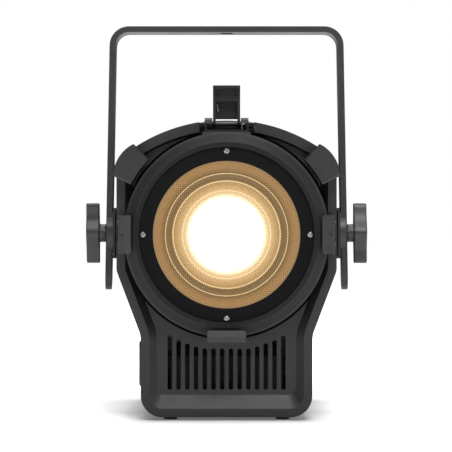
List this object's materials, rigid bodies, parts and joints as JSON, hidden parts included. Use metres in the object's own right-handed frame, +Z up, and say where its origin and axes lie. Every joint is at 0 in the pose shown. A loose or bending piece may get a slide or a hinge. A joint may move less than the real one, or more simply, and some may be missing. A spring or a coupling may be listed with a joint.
{
  "type": "fresnel spotlight",
  "caption": "Fresnel spotlight with an LED engine on a zoom carriage, a tilting yoke with clamping knobs, accessory frame clips and a folding frame latch.",
  "frame": {"origin": "on the ground, under the middle of the lamp's box", "axes": "+Z up, the lens looks along -Y, +X to the right as the front is looked at"},
  "size_m": [0.2692, 0.3, 0.369],
  "materials": {
    "housing_black": "die cast, fine textured black powder coat",
    "ring_black": "die cast, satin black powder coat",
    "plate_black": "pressed sheet, matt textured black",
    "clip_steel": "satin black",
    "bright_steel": "zinc plated",
    "lens_glass": "clear stepped glass",
    "rubber": "matt",
    "yoke_steel": "textured powder coat",
    "knob_plastic": "moulded",
    "socket_plastic": "moulded",
    "brass": "turned",
    "raw_aluminium": "machined",
    "supply_black": "potted unit in a black case",
    "motor_steel": "blackened",
    "circuit_board": "soldermask",
    "emitter": "phosphor",
    "fan_plastic": "moulded",
    "display_glass": "clear dark window"
  },
  "bodies": {
    "housing": {"clip_screws": "clip_steel", "connector_panel": "bright_steel", "control_board": "circuit_board", "control_pod": "housing_black", "cover_screws": "bright_steel", "data_input": "socket_plastic", "data_output": "socket_plastic", "display_module": "display_glass", "display_window": "display_glass", "feet": "rubber", "frame_clip_bottom": "clip_steel", "frame_clip_left": "clip_steel", "frame_clip_right": "clip_steel", "fresnel_lens": "lens_glass", "front_housing": "housing_black", "front_ring": "ring_black", "fuse_holder": "socket_plastic", "guide_rods": "bright_steel", "latch_bracket": "clip_steel", "latch_pin": "bright_steel", "latch_spring": "bright_steel", "lens_barrel": "plate_black", "lens_gasket": "rubber", "lens_plate": "plate_black", "lens_screws": "bright_steel", "main_housing": "housing_black", "power_inlet": "socket_plastic", "power_outlet": "socket_plastic", "power_supply": "supply_black", "rear_cover": "housing_black", "rod_bracket_front": "raw_aluminium", "rod_bracket_rear": "raw_aluminium", "safety_eye": "bright_steel", "shoulder_pad_left": "housing_black", "shoulder_pad_right": "housing_black", "side_block_left": "housing_black", "side_block_right": "housing_black", "threaded_inserts": "brass", "zoom_motor": "motor_steel"},
    "yoke": {"yoke_strap": "yoke_steel", "friction_washers": "knob_plastic"},
    "knob_left": {"knob_left": "knob_plastic", "knob_stud_left": "bright_steel"},
    "knob_right": {"knob_right": "knob_plastic", "knob_stud_right": "bright_steel"},
    "latch": {"latch_arm": "clip_steel"},
    "carriage": {"carriage_plate": "raw_aluminium", "carriage_bushings": "brass", "lead_nut": "brass", "led_board": "circuit_board", "led_emitter": "emitter", "light_collector": "raw_aluminium", "heat_sink": "raw_aluminium", "fan_frame": "fan_plastic"},
    "fan": {"fan_rotor": "fan_plastic"},
    "drive_screw": {"lead_screw": "bright_steel"},
    "button_menu": {"button_menu": "knob_plastic"},
    "button_down": {"button_down": "knob_plastic"},
    "button_up": {"button_up": "knob_plastic"},
    "button_enter": {"button_enter": "knob_plastic"}
  },
  "joints": [
    {"name": "yoke_tilt", "type": "hinge", "parent": "housing", "child": "yoke", "pos_m": [0, -0.02, 0.1715], "axis": [1, 0, 0], "range_deg": [-110, 120]},
    {"name": "knob_left_turn", "type": "hinge", "parent": "housing", "child": "knob_left", "pos_m": [-0.12, -0.02, 0.1715], "axis": [1, 0, 0], "continuous": true},
    {"name": "knob_right_turn", "type": "hinge", "parent": "housing", "child": "knob_right", "pos_m": [0.12, -0.02, 0.1715], "axis": [1, 0, 0], "continuous": true},
    {"name": "latch_fold", "type": "hinge", "parent": "housing", "child": "latch", "pos_m": [0, -0.119, 0.2718], "axis": [1, 0, 0], "range_deg": [0, 90]},
    {"name": "zoom_slide", "type": "slide", "parent": "housing", "child": "carriage", "axis": [0, 1, 0], "range_m": [-0.015, 0.015]},
    {"name": "drive_screw_turn", "type": "hinge", "parent": "housing", "child": "drive_screw", "pos_m": [0, 0, 0.232], "axis": [0, 1, 0], "range_deg": [-700, 700]},
    {"name": "fan_spin", "type": "hinge", "parent": "carriage", "child": "fan", "pos_m": [0, 0.003, 0.17], "axis": [0, 1, 0], "continuous": true},
    {"name": "button_menu_press", "type": "slide", "parent": "housing", "child": "button_menu", "axis": [1, 0, 0], "range_m": [0, 0.0012], "stiffness_N_per_m": 300},
    {"name": "button_down_press", "type": "slide", "parent": "housing", "child": "button_down", "axis": [1, 0, 0], "range_m": [0, 0.0012], "stiffness_N_per_m": 300},
    {"name": "button_up_press", "type": "slide", "parent": "housing", "child": "button_up", "axis": [1, 0, 0], "range_m": [0, 0.0012], "stiffness_N_per_m": 300},
    {"name": "button_enter_press", "type": "slide", "parent": "housing", "child": "button_enter", "axis": [1, 0, 0], "range_m": [0, 0.0012], "stiffness_N_per_m": 300}
  ],
  "couplings": [
    {"joint": "drive_screw_turn", "follows": "zoom_slide", "rad_per_m": 785.4}
  ]
}
